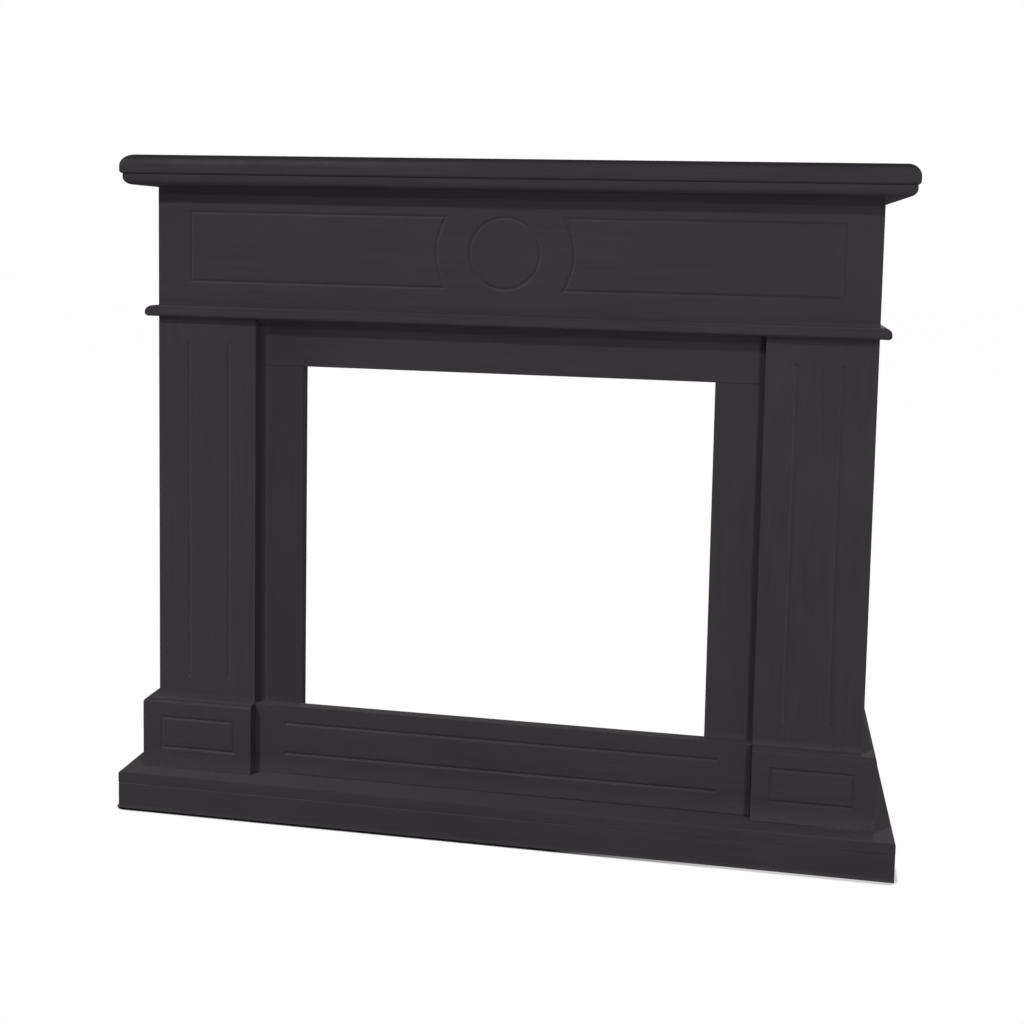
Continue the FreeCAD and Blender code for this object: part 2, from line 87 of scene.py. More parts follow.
# Values at the two ends of a range, and the range that a noise pattern mostly keeps to
RISE = (0, 1)
FALL = (1, 0)
NOISE_BAND = (0.3, 0.7)

# Sockets of the mixing nodes, which share their names and are told apart by their place
MIX_AMOUNT = 0
MIX_VALUES = (2, 3)
MIXED_VALUE = 0
MIX_COLOURS = (6, 7)
MIXED_COLOUR = 2
MIX_SHADERS = (1, 2)


def add(tree, kind, **settings):
    """Add one node to a tree and set its options."""
    item = tree.nodes.new(kind)
    for name, setting in settings.items():
        setattr(item, name, setting)
    return item


def fill(item, **values):
    """Set input values of a node by name, with underscores for spaces."""
    for name, number in values.items():
        item.inputs[name.replace("_", " ")].default_value = number


def feed(tree, source, socket):
    """Link an output to an input, or set the input to a plain number or colour."""
    if isinstance(source, (int, float)):
        socket.default_value = source
    elif isinstance(source, tuple):
        socket.default_value = (*source, 1)
    else:
        tree.links.new(source, socket)


def split(tree, vector):
    """Take a vector apart along the three axes."""
    item = add(tree, "ShaderNodeSeparateXYZ")
    feed(tree, vector, item.inputs["Vector"])
    return Axes(item.outputs["X"], item.outputs["Y"], item.outputs["Z"])


def calculate(tree, operation, first, second=0):
    """Add a Math node whose inputs are sockets or plain numbers."""
    item = add(tree, "ShaderNodeMath", operation=operation)
    feed(tree, first, item.inputs[0])
    feed(tree, second, item.inputs[1])
    return item.outputs["Value"]


def chain(tree, operation, terms):
    """Join several sockets or plain numbers by one operation."""
    result = terms[0]
    for term in terms[1:]:
        result = calculate(tree, operation, result, term)
    return result


def times(tree, *factors):
    """Multiply sockets and plain numbers."""
    return chain(tree, "MULTIPLY", factors)


def plus(tree, *terms):
    """Add up sockets and plain numbers."""
    return chain(tree, "ADD", terms)


def largest(tree, *terms):
    """Take the largest of several sockets."""
    return chain(tree, "MAXIMUM", terms)


def minus(tree, first, second):
    """Take the second value from the first."""
    return calculate(tree, "SUBTRACT", first, second)


def magnitude(tree, value):
    """Drop a value's sign."""
    return calculate(tree, "ABSOLUTE", value)


def over(tree, value, limit):
    """Mark where a value is over a limit."""
    return calculate(tree, "GREATER_THAN", value, limit)


def under(tree, value, limit):
    """Mark where a value is under a limit."""
    return calculate(tree, "LESS_THAN", value, limit)


def between(tree, value, low, high):
    """Mark where a value lies between two limits."""
    return times(tree, over(tree, value, low), under(tree, value, high))


def spread(tree, source, span, result):
    """Carry a value from one range to another, held at both ends."""
    item = add(tree, "ShaderNodeMapRange", clamp=True)
    feed(tree, source, item.inputs["Value"])
    for name, number in zip(("From Min", "From Max", "To Min", "To Max"), (*span, *result)):
        item.inputs[name].default_value = number
    return item.outputs["Result"]


def stretched(tree, position, scale, turn=(0, 0, 0)):
    """Turn and stretch a position, so that a pattern on it runs along a board."""
    mapping = add(tree, "ShaderNodeMapping")
    feed(tree, position, mapping.inputs["Vector"])
    mapping.inputs["Rotation"].default_value = turn
    mapping.inputs["Scale"].default_value = scale
    return mapping.outputs["Vector"]


def speckle(tree, position, scale, detail=3):
    """Add a noise pattern on a position, with features about one over the scale in metres."""
    noise = add(tree, "ShaderNodeTexNoise")
    feed(tree, position, noise.inputs["Vector"])
    fill(noise, Scale=scale, Detail=detail)
    return noise.outputs["Fac"]


def blend(tree, amount, first, second):
    """Mix two colours, each a socket or a plain colour."""
    item = add(tree, "ShaderNodeMix", data_type="RGBA", clamp_factor=True)
    feed(tree, amount, item.inputs[MIX_AMOUNT])
    for place, colour in zip(MIX_COLOURS, (first, second)):
        feed(tree, colour, item.inputs[place])
    return item.outputs[MIXED_COLOUR]


def mingle(tree, amount, first, second):
    """Mix two plain values."""
    item = add(tree, "ShaderNodeMix", data_type="FLOAT", clamp_factor=True)
    feed(tree, amount, item.inputs[MIX_AMOUNT])
    for place, value in zip(MIX_VALUES, (first, second)):
        feed(tree, value, item.inputs[place])
    return item.outputs[MIXED_VALUE]


def fresh_tree(owner):
    """Give a material or the world an empty node tree."""
    owner.use_nodes = True
    owner.node_tree.nodes.clear()
    return owner.node_tree


def start_group(name, inputs, outputs):
    """Start a shader node group with named sockets."""
    group = bpy.data.node_groups.new(name, "ShaderNodeTree")
    for label, kind in inputs:
        group.interface.new_socket(label, in_out="INPUT", socket_type=kind)
    for label, kind in outputs:
        group.interface.new_socket(label, in_out="OUTPUT", socket_type=kind)
    return group, add(group, "NodeGroupInput"), add(group, "NodeGroupOutput")


FINISH_OUTPUTS = [
    ("Color", "NodeSocketColor"),
    ("Roughness", "NodeSocketFloat"),
    ("Height", "NodeSocketFloat"),
]


# Charcoal paint: tones, patterns in features per metre, and how much clouds and strokes change the tone
PAINT_INPUTS = [
    ("Position", "NodeSocketVector"),
    ("Facing", "NodeSocketVector"),
    ("Stroke", "NodeSocketVector"),
]
PAINT_DARK = (0.0300, 0.0270, 0.0300)
PAINT_LIGHT = (0.0365, 0.0329, 0.0365)
PAINT_CLOUDS = 6
PAINT_STROKES = 190
PAINT_WORKING = 8
PAINT_PEEL = 320
NOISE_MIDDLE = 0.5
CLOUD_SHARE = 0.4
STROKES_WORKED = ((0.42, 0.62), (0.12, 0.5))
TONE_SPAN = (-0.15, 0.15)
PAINT_ROUGHNESS = (0.70, 0.78)

# Dust and painted light: their colour, their patterns, and how strongly they lighten each kind of place
DUST_AND_LIGHT_COLOUR = (0.25, 0.232, 0.245)
DUST_GRIT = 700
DUST_DRIFT = 45
DUST_ROUGHNESS = 0.1
SETTLED_DUST_AND_LIGHT = (0.11, 0.17)
GATHERED_DUST_AND_BOUNCE = (0.03, 0.08)
GROOVE_HIGHLIGHT = (0.03, 0.055)
APRON_DUST_AND_HIGHLIGHT = (0.02, 0.045)
NOSE_HIGHLIGHT = (0.03, 0.065)

# From left to right: the stretch of X where the dust and painted light change, and their share at both ends
# of that stretch; this change across is painted light and shade
DUST_AND_LIGHT_ACROSS = ((-0.5, 0.5), (1.1, 0.7))
SETTLED_LIGHT_ACROSS = ((-0.5, 0.1), (1.2, 1))
BOUNCE_ACROSS = ((0.25, 0.45), (1, 2.2))
GROOVE_HIGHLIGHT_ACROSS = ((0.1, 0.45), (1, 0.15))
APRON_HIGHLIGHT_ACROSS = ((-0.05, 0.2), (1, 0.2))
NOSE_HIGHLIGHT_ACROSS = ((-0.15, -0.04), (1, 0))
RIGHT_FLUTE_FILL_ACROSS = ((0.35, 0.42), (0, 1))

# Level faces by the Z of their normal, the thicker dust and painted highlight on the necking, and how far
# down its round it starts
LEVEL_TURN = (0.96, 0.998)
NECK_DUST_AND_HIGHLIGHT = ((0.001, 0.003), (1.5, 1))
NECK_ROUND = 0.002

# Ledges at whose foot a board is lightened by dust and painted bounce light, with a painted highlight on the
# necking's round, and how far up that reaches
DUST_AND_BOUNCE_LEDGES = [
    (-SKIN, 0.008),
    (HEARTH_TOP - SKIN, 0.030),
    (BLOCK_TOP - SKIN, 0.012),
    (NECK_TOP - NECK_ROUND, 0.008),
]

# Routed grooves: where their walls start and end behind the face, and how the walls that get a painted
# highlight are turned, with painted fill light on the right flutes' walls that face right
GROOVE_LIP = 0.0003
GROOVE_DEPTH = 0.0022
OPEN_WALL = -0.5
LIT_GROOVE_WALLS = ((-0.3, 0.3), (0.1, 1))
RIGHT_FLUTE_FILL_WALLS = ((0.3, 0.6), (0, 2))

# Eased upper edge of the aprons, where dust and a painted highlight lighten the paint
APRON_EASE = 0.0024

# Painted highlight along the shelf's nose: how far under the top it runs, and where it starts to fade and
# ends
NOSE_HIGHLIGHT_DROP = 0.0107
NOSE_HIGHLIGHT_EDGE = (0.001, 0.0055)

# Painted shade: its colour, and where it darkens the paint: in the joint on the hearth board, on the upper
# round of the shelf's nose, and on the left stile
PAINTED_SHADE = (0.012, 0.011, 0.012)
JOINT_HEIGHT = 0.0024
JOINT_GAPS = 7
JOINT_SHOWN = ((0.4, 0.6), (0.1, 0.5))
JOINT_END = 0.03
NOSE_HEIGHT = 0.02
NOSE_RISING = (0.55, 0.85)
NOSE_LEVEL = (0.99, 0.9999)
NOSE_SHADE = 0.5
STILE_MARGIN = 0.014
STILE_FADE = 0.08
STILE_SHADE = 0.2


def foot_dust_and_bounce(tree, spot):
    """Mark the foot of each board that stands on a ledge, lightened by dust and painted bounce light, fading
    upwards.
    """
    marks = []
    for level, reach in DUST_AND_BOUNCE_LEDGES:
        fading = spread(tree, spot.z, (level, level + reach), FALL)
        marks.append(times(tree, over(tree, spot.z, level), fading))
    return largest(tree, *marks)


def groove_highlight_walls(tree, spot, facing):
    """Mark the walls of the routed grooves just behind the boards' faces, for a painted highlight mostly on
    walls facing up or left and weaker to the right, and painted fill light on the right flutes' walls facing
    right.
    """
    marks = []
    for face, top in ((ROUTED_FACE, SHELF_TOP), (BLOCK_FACE, BLOCK_TOP)):
        depth = minus(tree, spot.y, face)
        sunk = spread(tree, depth, (0, GROOVE_LIP), RISE)
        marks.append(times(tree, sunk, under(tree, depth, GROOVE_DEPTH), under(tree, spot.z, top)))
    lit_wall = spread(tree, minus(tree, facing.z, facing.x), *LIT_GROOVE_WALLS)
    highlighted = times(tree, lit_wall, under(tree, facing.y, OPEN_WALL), spread(tree, spot.x, *GROOVE_HIGHLIGHT_ACROSS))
    flutes = times(tree, spread(tree, spot.x, *RIGHT_FLUTE_FILL_ACROSS), over(tree, spot.z, BLOCK_TOP))
    fill_lit = times(tree, spread(tree, facing.x, *RIGHT_FLUTE_FILL_WALLS), flutes)
    return times(tree, largest(tree, *marks), largest(tree, highlighted, fill_lit))


def apron_dust_and_highlight(tree, spot):
    """Mark the eased upper edge of the aprons, just under the hearth board, where dust and a painted
    highlight lighten it.
    """
    return between(tree, spot.z, APRON_TOP - APRON_EASE, APRON_TOP)


def nose_highlight(tree, spot):
    """Mark a painted highlight along the left half of the shelf's nose, a little under its top."""
    away = magnitude(tree, minus(tree, spot.z, SHELF_TOP - NOSE_HIGHLIGHT_DROP))
    return times(tree, spread(tree, away, NOSE_HIGHLIGHT_EDGE, FALL), spread(tree, spot.x, *NOSE_HIGHLIGHT_ACROSS))


def dust_and_light_amount(tree, position, spot, facing, level):
    """Tell how much dust and painted light lighten the paint: dust and painted top light on level faces, dust
    and painted bounce light at the foot of boards, painted highlights in grooves, on the aprons' edge with
    dust, and on the nose.
    """
    grit = speckle(tree, position, DUST_GRIT, 2)
    drift = speckle(tree, position, DUST_DRIFT)
    neck = spread(tree, magnitude(tree, minus(tree, spot.z, NECK_TOP)), *NECK_DUST_AND_HIGHLIGHT)
    settled_and_lit = times(tree, level, spread(tree, grit, NOISE_BAND, SETTLED_DUST_AND_LIGHT), neck)
    settled_and_lit = times(tree, settled_and_lit, spread(tree, spot.x, *SETTLED_LIGHT_ACROSS))
    gathered_and_bounced = times(tree, foot_dust_and_bounce(tree, spot), spread(tree, grit, NOISE_BAND, GATHERED_DUST_AND_BOUNCE))
    gathered_and_bounced = times(tree, gathered_and_bounced, spread(tree, spot.x, *BOUNCE_ACROSS))
    groove_lit = times(tree, groove_highlight_walls(tree, spot, facing), spread(tree, drift, NOISE_BAND, GROOVE_HIGHLIGHT))
    apron_lit = times(tree, apron_dust_and_highlight(tree, spot), spread(tree, drift, NOISE_BAND, APRON_DUST_AND_HIGHLIGHT))
    apron_lit = times(tree, apron_lit, spread(tree, spot.x, *APRON_HIGHLIGHT_ACROSS))
    lightened = largest(tree, settled_and_lit, gathered_and_bounced, groove_lit, apron_lit)
    nose_lit = times(tree, nose_highlight(tree, spot), spread(tree, drift, NOISE_BAND, NOSE_HIGHLIGHT))
    # Painted light: all of this lightening is stronger towards the left
    return largest(tree, times(tree, lightened, spread(tree, spot.x, *DUST_AND_LIGHT_ACROSS)), nose_lit)


def hearth_joint_shade(tree, position, spot):
    """Mark a thin, uneven painted shade in the joint of what stands on the hearth board, with none at the far
    left.
    """
    thin = between(tree, spot.z, HEARTH_TOP + SKIN / 2, HEARTH_TOP + JOINT_HEIGHT)
    uneven = spread(tree, speckle(tree, position, JOINT_GAPS, 2), *JOINT_SHOWN)
    joint_shaded_span = spread(tree, spot.x, (-OPENING_SIDE - JOINT_END, -OPENING_SIDE), RISE)
    return times(tree, thin, uneven, joint_shaded_span)


def nose_rim_shade(tree, spot, facing):
    """Mark the upper round of the shelf's nose, for a painted shade."""
    high = over(tree, spot.z, SHELF_TOP - NOSE_HEIGHT)
    rising = spread(tree, facing.z, NOSE_RISING, RISE)
    return times(tree, high, rising, spread(tree, facing.z, NOSE_LEVEL, FALL))


def stile_shade(tree, spot):
    """Mark the left stile and the end of the header above it, for a painted shade that starts a little off
    the pilaster and fades out to the right along the header.
    """
    recessed = over(tree, spot.y, FRAME_FACE - SKIN)
    framed = over(tree, spot.x, STILE_MARGIN - PILASTER_EDGE)
    upright = between(tree, spot.z, BLOCK_TOP + SKIN, HEADER_TOP)
    fading = spread(tree, spot.x, (-OPENING_SIDE, -OPENING_SIDE + STILE_FADE), FALL)
    return times(tree, recessed, framed, upright, fading)


def shade_amount(tree, position, spot, facing):
    """Tell how much painted shade darkens the paint: in the hearth's joint, on the nose's upper round and on
    the left stile.
    """
    rim_shaded = times(tree, nose_rim_shade(tree, spot, facing), NOSE_SHADE)
    darker = times(tree, stile_shade(tree, spot), STILE_SHADE)
    return largest(tree, hearth_joint_shade(tree, position, spot), rim_shaded, darker)


def paint_tone(tree, position, cloud, strokes):
    """Colour of the clean paint: cloudy, with strokes that show more in some places than in others."""
    worked = spread(tree, speckle(tree, position, PAINT_WORKING), *STROKES_WORKED)
    stroked = times(tree, minus(tree, strokes, NOISE_MIDDLE), worked)
    clouded = times(tree, minus(tree, cloud, NOISE_MIDDLE), CLOUD_SHARE)
    shade = spread(tree, plus(tree, clouded, stroked), TONE_SPAN, RISE)
    return blend(tree, shade, PAINT_DARK, PAINT_LIGHT)


def charcoal_paint_group():
    """Satin charcoal paint: a cloudy tone, strokes along the board, dust with painted top light, bounce light
    and highlights, and painted shade in a few places.
    """
    group, given, made = start_group("Charcoal paint", PAINT_INPUTS, FINISH_OUTPUTS)
    position = given.outputs["Position"]
    spot = split(group, position)
    facing = split(group, given.outputs["Facing"])
    cloud = speckle(group, position, PAINT_CLOUDS, 4)
    strokes = speckle(group, given.outputs["Stroke"], PAINT_STROKES, 4)
    level = spread(group, facing.z, LEVEL_TURN, RISE)
    dust_and_light = dust_and_light_amount(group, position, spot, facing, level)
    dusted_and_lit = blend(group, dust_and_light, paint_tone(group, position, cloud, strokes), DUST_AND_LIGHT_COLOUR)
    shaded = blend(group, shade_amount(group, position, spot, facing), dusted_and_lit, PAINTED_SHADE)
    feed(group, shaded, made.inputs["Color"])
    satin = spread(group, cloud, NOISE_BAND, PAINT_ROUGHNESS)
    feed(group, plus(group, satin, times(group, level, DUST_ROUGHNESS)), made.inputs["Roughness"])
    peel = speckle(group, position, PAINT_PEEL, 2)
    feed(group, times(group, plus(group, peel, strokes), 1 / 2), made.inputs["Height"])
    return group


# Bare fibreboard: colours, patterns in features per metre, and how strongly fibres and chips show
BOARD_DARK = (0.235, 0.150, 0.083)
BOARD_LIGHT = (0.300, 0.200, 0.117)
BOARD_FIBRE = (0.370, 0.262, 0.165)
BOARD_CHIP = (0.120, 0.072, 0.040)
BOARD_CLOUDS = 9
BOARD_FIBRES = 420
BOARD_CHIPS = 900
FIBRES_SHOWN = ((0.45, 0.75), (0, 0.5))
CHIPS_SHOWN = ((0.64, 0.74), (0, 0.55))
BOARD_ROUGHNESS = (0.72, 0.86)


def bare_fibreboard_group():
    """Bare fibreboard: a warm brown with fine fibres and a few darker chips."""
    group, given, made = start_group("Bare fibreboard", [("Position", "NodeSocketVector")], FINISH_OUTPUTS)
    position = given.outputs["Position"]
    cloud = speckle(group, position, BOARD_CLOUDS, 4)
    fibre = speckle(group, position, BOARD_FIBRES, 4)
    chip = speckle(group, position, BOARD_CHIPS, 1)
    colour = blend(group, spread(group, cloud, NOISE_BAND, RISE), BOARD_DARK, BOARD_LIGHT)
    colour = blend(group, spread(group, fibre, *FIBRES_SHOWN), colour, BOARD_FIBRE)
    colour = blend(group, spread(group, chip, *CHIPS_SHOWN), colour, BOARD_CHIP)
    feed(group, colour, made.inputs["Color"])
    feed(group, spread(group, fibre, NOISE_BAND, BOARD_ROUGHNESS), made.inputs["Roughness"])
    feed(group, fibre, made.inputs["Height"])
    return group


# Softwood: colours, patterns, and how strongly its lines and pores show
WOOD_DARK = (0.520, 0.330, 0.155)
WOOD_LIGHT = (0.620, 0.420, 0.220)
WOOD_LINE = (0.330, 0.165, 0.062)
WOOD_PORE = (0.260, 0.135, 0.055)
WOOD_WANDER = 3
WOOD_PORES = 60
WOOD_RINGS = {"Scale": 26, "Distortion": 5, "Detail": 3, "Detail_Scale": 1.2}
LINE_SPAN = (0.45, 1)
LINE_RANGE = (0, 0.75)
LINE_SINK = 0.4
PORES_SHOWN = ((0.5, 0.8), (0, 0.35))
WOOD_ROUGHNESS = (0.62, 0.5)


def softwood_group():
    """Planed softwood: pale wood with darker late-wood lines along one direction."""
    group, given, made = start_group("Softwood grain", [("Grain", "NodeSocketVector")], FINISH_OUTPUTS)
    grain = given.outputs["Grain"]
    wander = speckle(group, grain, WOOD_WANDER)
    rings = add(group, "ShaderNodeTexWave", wave_type="BANDS", bands_direction="X", wave_profile="SAW")
    feed(group, grain, rings.inputs["Vector"])
    fill(rings, **WOOD_RINGS)
    pores = speckle(group, grain, WOOD_PORES)
    line = spread(group, rings.outputs["Fac"], LINE_SPAN, LINE_RANGE)
    colour = blend(group, spread(group, wander, NOISE_BAND, RISE), WOOD_DARK, WOOD_LIGHT)
    colour = blend(group, line, colour, WOOD_LINE)
    colour = blend(group, spread(group, pores, *PORES_SHOWN), colour, WOOD_PORE)
    feed(group, colour, made.inputs["Color"])
    feed(group, spread(group, line, LINE_RANGE, WOOD_ROUGHNESS), made.inputs["Roughness"])
    feed(group, minus(group, pores, times(group, line, LINE_SINK)), made.inputs["Height"])
    return group


PAINT = charcoal_paint_group()
FIBREBOARD = bare_fibreboard_group()
SOFTWOOD = softwood_group()


# Materials: each relief is a strength and a depth in metres
PAINT_SPECULAR = 0.01
PAINT_RELIEF = (0.12, 0.0004)
BOARD_SPECULAR = 0.2
BOARD_RELIEF = (0.15, 0.0005)
WOOD_SPECULAR = 0.3
WOOD_RELIEF = (0.2, 0.0004)
STROKE_STRETCH = 0.05
GRAIN_STRETCH = (1, 1, 0.06)

# Faces that stay bare: how square on to an axis they are, and the uneven edge of the paint drift among them
SQUARE_ON = 0.7
DRIFT_CLOUDS = 9
DRIFT_WANDER = 0.03
DRIFT_DROPLETS = 900
DROPLET_REACH = 0.022
DRIFT_EDGE = (0.023, 0.044)
DRIFT_DENSITY = 0.92


def start_material(name):
    """Start a material with a Principled shader and object coordinates."""
    material = bpy.data.materials.new(name)
    tree = fresh_tree(material)
    surface = add(tree, "ShaderNodeBsdfPrincipled")
    output = add(tree, "ShaderNodeOutputMaterial")
    feed(tree, surface.outputs["BSDF"], output.inputs["Surface"])
    coordinates = add(tree, "ShaderNodeTexCoord")
    return material, tree, surface, coordinates


def use_group(tree, group, **sources):
    """Place a shared finish in a material and feed its inputs."""
    item = add(tree, "ShaderNodeGroup", node_tree=group)
    for name, source in sources.items():
        feed(tree, source, item.inputs[name])
    return item.outputs


def finish_surface(tree, surface, colour, roughness, height, relief):
    """Give a shader its colour, its roughness and a fine relief."""
    feed(tree, colour, surface.inputs["Base Color"])
    feed(tree, roughness, surface.inputs["Roughness"])
    strength, depth = relief
    bump = add(tree, "ShaderNodeBump")
    fill(bump, Strength=strength, Distance=depth)
    feed(tree, height, bump.inputs["Height"])
    feed(tree, bump.outputs["Normal"], surface.inputs["Normal"])


def turned_out(tree, spot, facing):
    """Tell how squarely a face looks away from the middle of the surround."""
    return times(tree, facing.x, calculate(tree, "SIGN", spot.x))


def bare_top_mask(tree, position, normal):
    """Mark the bare faces of the shelf and hearth boards: backs, the notch, and the hearth's underside."""
    spot = split(tree, position)
    facing = split(tree, normal)
    backs = over(tree, facing.y, SQUARE_ON)
    notch = under(tree, turned_out(tree, spot, facing), -SQUARE_ON)
    low = under(tree, spot.z, HEARTH_TOP - SKIN)
    underside = times(tree, low, under(tree, facing.z, -SQUARE_ON))
    return largest(tree, backs, notch, underside)


def overspray(tree, position, spot):
    """Mark where paint drifted round the edges of the fire opening onto the bare backs."""
    across = minus(tree, magnitude(tree, spot.x), OPENING_SIDE)
    above = minus(tree, spot.z, OPENING_TOP)
    below = minus(tree, BLOCK_TOP, spot.z)
    away = largest(tree, across, above, below)
    wander = times(tree, speckle(tree, position, DRIFT_CLOUDS), DRIFT_WANDER)
    droplets = times(tree, speckle(tree, position, DRIFT_DROPLETS, 2), DROPLET_REACH)
    return spread(tree, plus(tree, away, wander, droplets), DRIFT_EDGE, (DRIFT_DENSITY, 0))


def bare_body_mask(tree, position, normal):
    """Mark the bare faces of the body's boards: backs, sides and ends inside the hollow, and lapped edges."""
    spot = split(tree, position)
    facing = split(tree, normal)
    out = turned_out(tree, spot, facing)
    across = magnitude(tree, spot.x)
    clean = minus(tree, 1, overspray(tree, position, spot))
    backs = times(tree, over(tree, facing.y, SQUARE_ON), clean)
    sides = times(tree, over(tree, spot.y, HOLLOW_FRONT), under(tree, out, -SQUARE_ON))
    upper = between(tree, spot.z, OPENING_TOP + SKIN, HOLLOW_TOP)
    hollow = times(tree, under(tree, across, HOLLOW_SIDE), upper)
    level = over(tree, magnitude(tree, facing.z), SQUARE_ON)
    ends = times(tree, level, hollow, over(tree, spot.y, FRAME_FACE + SKIN))
    framed = times(tree, under(tree, across, STILE_EDGE + SKIN), over(tree, spot.y, FRAME_FACE - SKIN))
    laps = times(tree, over(tree, out, SQUARE_ON), framed)
    return largest(tree, backs, sides, ends, laps)


def charcoal_material(name, stretch, bare_mask):
    """Charcoal paint where it shows, with strokes along the board, bare fibreboard where it never reaches."""
    material, tree, surface, coordinates = start_material(name)
    position, normal = coordinates.outputs["Object"], coordinates.outputs["Normal"]
    strokes = stretched(tree, position, stretch)
    paint = use_group(tree, PAINT, Position=position, Facing=normal, Stroke=strokes)
    bare = use_group(tree, FIBREBOARD, Position=position)
    mask = bare_mask(tree, position, normal)
    colour = blend(tree, mask, paint["Color"], bare["Color"])
    roughness = mingle(tree, mask, paint["Roughness"], bare["Roughness"])
    height = mingle(tree, mask, paint["Height"], bare["Height"])
    surface.inputs["Specular IOR Level"].default_value = PAINT_SPECULAR
    finish_surface(tree, surface, colour, roughness, height, PAINT_RELIEF)
    return material


def bare_fibreboard_material():
    """Bare fibreboard on every face."""
    material, tree, surface, coordinates = start_material("bare_fibreboard")
    bare = use_group(tree, FIBREBOARD, Position=coordinates.outputs["Object"])
    surface.inputs["Specular IOR Level"].default_value = BOARD_SPECULAR
    finish_surface(tree, surface, bare["Color"], bare["Roughness"], bare["Height"], BOARD_RELIEF)
    return material


def softwood_material(name, turn):
    """Planed softwood with its grain turned along a batten."""
    material, tree, surface, coordinates = start_material(name)
    grain = stretched(tree, coordinates.outputs["Object"], GRAIN_STRETCH, turn)
    wood = use_group(tree, SOFTWOOD, Grain=grain)
    surface.inputs["Specular IOR Level"].default_value = WOOD_SPECULAR
    finish_surface(tree, surface, wood["Color"], wood["Roughness"], wood["Height"], WOOD_RELIEF)
    return material


# Beech dowels: colours, patterns in features per metre, and how strongly the flecks show
BEECH_DARK = (0.50, 0.29, 0.15)
BEECH_LIGHT = (0.60, 0.37, 0.20)
BEECH_FLECK = (0.27, 0.12, 0.05)
BEECH_CLOUDS = 40
BEECH_FLECKS = 300
FLECK_STRETCH = (1, 1, 0.12)
FLECKS_SHOWN = ((0.55, 0.75), (0, 0.6))
BEECH_ROUGHNESS = (0.5, 0.65)
BEECH_RELIEF = (0.2, 0.0003)


def beech_material():
    """Beech dowel: short dark flecks along the grain."""
    material, tree, surface, coordinates = start_material("beech_dowel")
    position = coordinates.outputs["Object"]
    fleck = speckle(tree, stretched(tree, position, FLECK_STRETCH), BEECH_FLECKS)
    cloud = speckle(tree, position, BEECH_CLOUDS, 2)
    colour = blend(tree, spread(tree, cloud, NOISE_BAND, RISE), BEECH_DARK, BEECH_LIGHT)
    colour = blend(tree, spread(tree, fleck, *FLECKS_SHOWN), colour, BEECH_FLECK)
    roughness = spread(tree, fleck, NOISE_BAND, BEECH_ROUGHNESS)
    finish_surface(tree, surface, colour, roughness, fleck, BEECH_RELIEF)
    return material


# Zinc plate: colours, patterns in features per metre, and how strongly stains and rolling marks show
ZINC_DARK = (0.36, 0.37, 0.38)
ZINC_LIGHT = (0.52, 0.53, 0.54)
ZINC_STAIN = (0.24, 0.24, 0.235)
ZINC_SPANGLE = 260
ZINC_ROLLING = 500
ZINC_STAINS = 45
ROLLING_STRETCH = (1, 1, 0.08)
STAINS_SHOWN = ((0.55, 0.8), (0, 0.5))
ZINC_ROUGHNESS = (0.3, 0.44)
ROLLING_ROUGHNESS = 0.08
ZINC_RELIEF = (0.12, 0.0002)


def zinc_material():
    """Zinc-plated steel: pale grey with a soft spangle and fine rolling marks."""
    material, tree, surface, coordinates = start_material("zinc_plate")
    position = coordinates.outputs["Object"]
    spangle = add(tree, "ShaderNodeTexVoronoi", feature="F1")
    feed(tree, position, spangle.inputs["Vector"])
    fill(spangle, Scale=ZINC_SPANGLE)
    rolled = speckle(tree, stretched(tree, position, ROLLING_STRETCH), ZINC_ROLLING)
    stain = speckle(tree, position, ZINC_STAINS, 4)
    tone = split(tree, spangle.outputs["Color"])
    colour = blend(tree, tone.x, ZINC_DARK, ZINC_LIGHT)
    colour = blend(tree, spread(tree, stain, *STAINS_SHOWN), colour, ZINC_STAIN)
    stained = spread(tree, stain, NOISE_BAND, ZINC_ROUGHNESS)
    roughness = plus(tree, stained, times(tree, rolled, ROLLING_ROUGHNESS))
    surface.inputs["Metallic"].default_value = 1
    finish_surface(tree, surface, colour, roughness, rolled, ZINC_RELIEF)
    return material


def dress(names, material):
    """Give CAD nodes their finish."""
    for name in names:
        mesh = NODES[name].data
        mesh.materials.clear()
        mesh.materials.append(material)


# Sanded edges of plain boards
EASED_EDGE = 0.0008
EASED_STEPS = 2
EASED_ANGLE = math.radians(50)
WELD_REACH = 0.00001


def soften_edges(names):
    """Ease the square edges of plain boards a little, as sanding does."""
    for name in names:
        weld = NODES[name].modifiers.new("weld", "WELD")
        weld.merge_threshold = WELD_REACH
        bevel = NODES[name].modifiers.new("sanded_edges", "BEVEL")
        bevel.width = EASED_EDGE
        bevel.segments = EASED_STEPS
        bevel.limit_method = "ANGLE"
        bevel.angle_limit = EASED_ANGLE


# Screws on the hidden side: pan heads with a cross recess
SCREW_RADIUS = 0.0042
SCREW_RISE = 0.0024
SCREW_SIDES = 32
DOME_REACH = 0.7 * SCREW_RISE
DOME_STEPS = 4
SMOOTH_ANGLE = math.radians(35)
RECESS_LENGTH = 0.0048
RECESS_WIDTH = 0.0009
RECESS_DEPTH = 0.0014
RECESS_TAPER = 0.5
SCREW_TURN = 1.1

# Places of the screws on the pieces that they hold
BRACKET_SHEET = 0.002
BRACKET_FROM_WALL = (0.016, 0.031)
STILE_LAP = 0.02
STILE_LEVELS = (0.22, 0.36, 0.50, 0.64)
HEADER_RISES = (0.018, 0.053)
RAIL_LAP = 0.04
RAIL_INSET = 0.026
RAIL_LEVELS = (HEARTH_TOP + RAIL_INSET, BLOCK_TOP - RAIL_INSET)
FRONT_BATTEN_ACROSS = (0.13, 0.38)
SIDE_BATTEN_DEEP = (0.03, 0.12)
TO_WALL = (0, 1, 0)
DOWNWARDS = (0, 0, -1)


